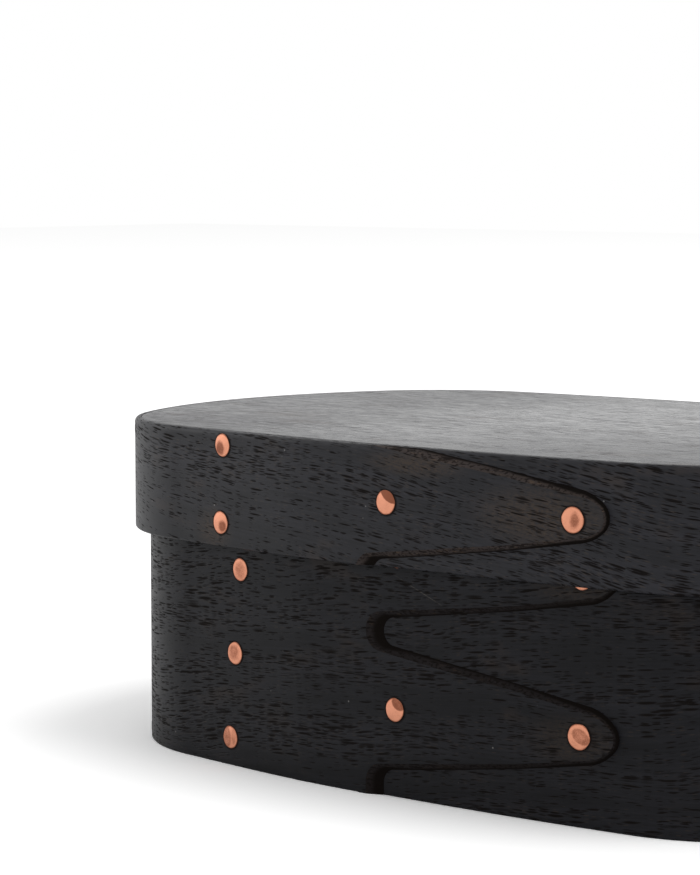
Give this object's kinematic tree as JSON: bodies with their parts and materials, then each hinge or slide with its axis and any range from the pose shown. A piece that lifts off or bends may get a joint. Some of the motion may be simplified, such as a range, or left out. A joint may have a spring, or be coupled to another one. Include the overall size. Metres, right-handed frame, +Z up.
{
  "type": "shaker oval box",
  "caption": "Oval bentwood box with a lift-off lid. Bands lap into swallowtail fingers held by copper tacks round flat boards.",
  "frame": {"origin": "centre of the oval on the face the box stands on", "axes": "+Z up, +X along the oval, -Y the side with the laps, whose fingers point to +X"},
  "size_m": [0.1596, 0.106, 0.058],
  "materials": {
    "band_wood": "thin bent hardwood, stained black, satin oil",
    "board_wood": "quarter-sawn board, stained black, satin oil",
    "peg_wood": "small hardwood pins, stained black",
    "copper": "bright copper with small hammer flats"
  },
  "bodies": {
    "box": {"box_band": "band_wood", "bottom_board": "board_wood", "box_column_tack_1": "copper", "box_column_tack_2": "copper", "box_column_tack_3": "copper", "box_column_tack_4": "copper", "box_lower_root_tack": "copper", "box_lower_nose_tack": "copper", "box_upper_root_tack": "copper", "box_upper_nose_tack": "copper", "bottom_peg_1": "peg_wood", "bottom_peg_2": "peg_wood", "bottom_peg_3": "peg_wood", "bottom_peg_4": "peg_wood", "bottom_peg_5": "peg_wood", "bottom_peg_6": "peg_wood", "bottom_peg_7": "peg_wood", "bottom_peg_8": "peg_wood", "bottom_peg_9": "peg_wood"},
    "lid": {"lid_band": "band_wood", "lid_board": "board_wood", "lid_column_tack_1": "copper", "lid_column_tack_2": "copper", "lid_root_tack": "copper", "lid_nose_tack": "copper", "lid_peg_1": "peg_wood", "lid_peg_2": "peg_wood", "lid_peg_3": "peg_wood", "lid_peg_4": "peg_wood", "lid_peg_5": "peg_wood", "lid_peg_6": "peg_wood", "lid_peg_7": "peg_wood", "lid_peg_8": "peg_wood", "lid_peg_9": "peg_wood"}
  },
  "joints": [
    {"name": "lid_lift", "type": "slide", "parent": "box", "child": "lid", "axis": [0, 0, 1], "range_m": [0, 0.05]}
  ]
}
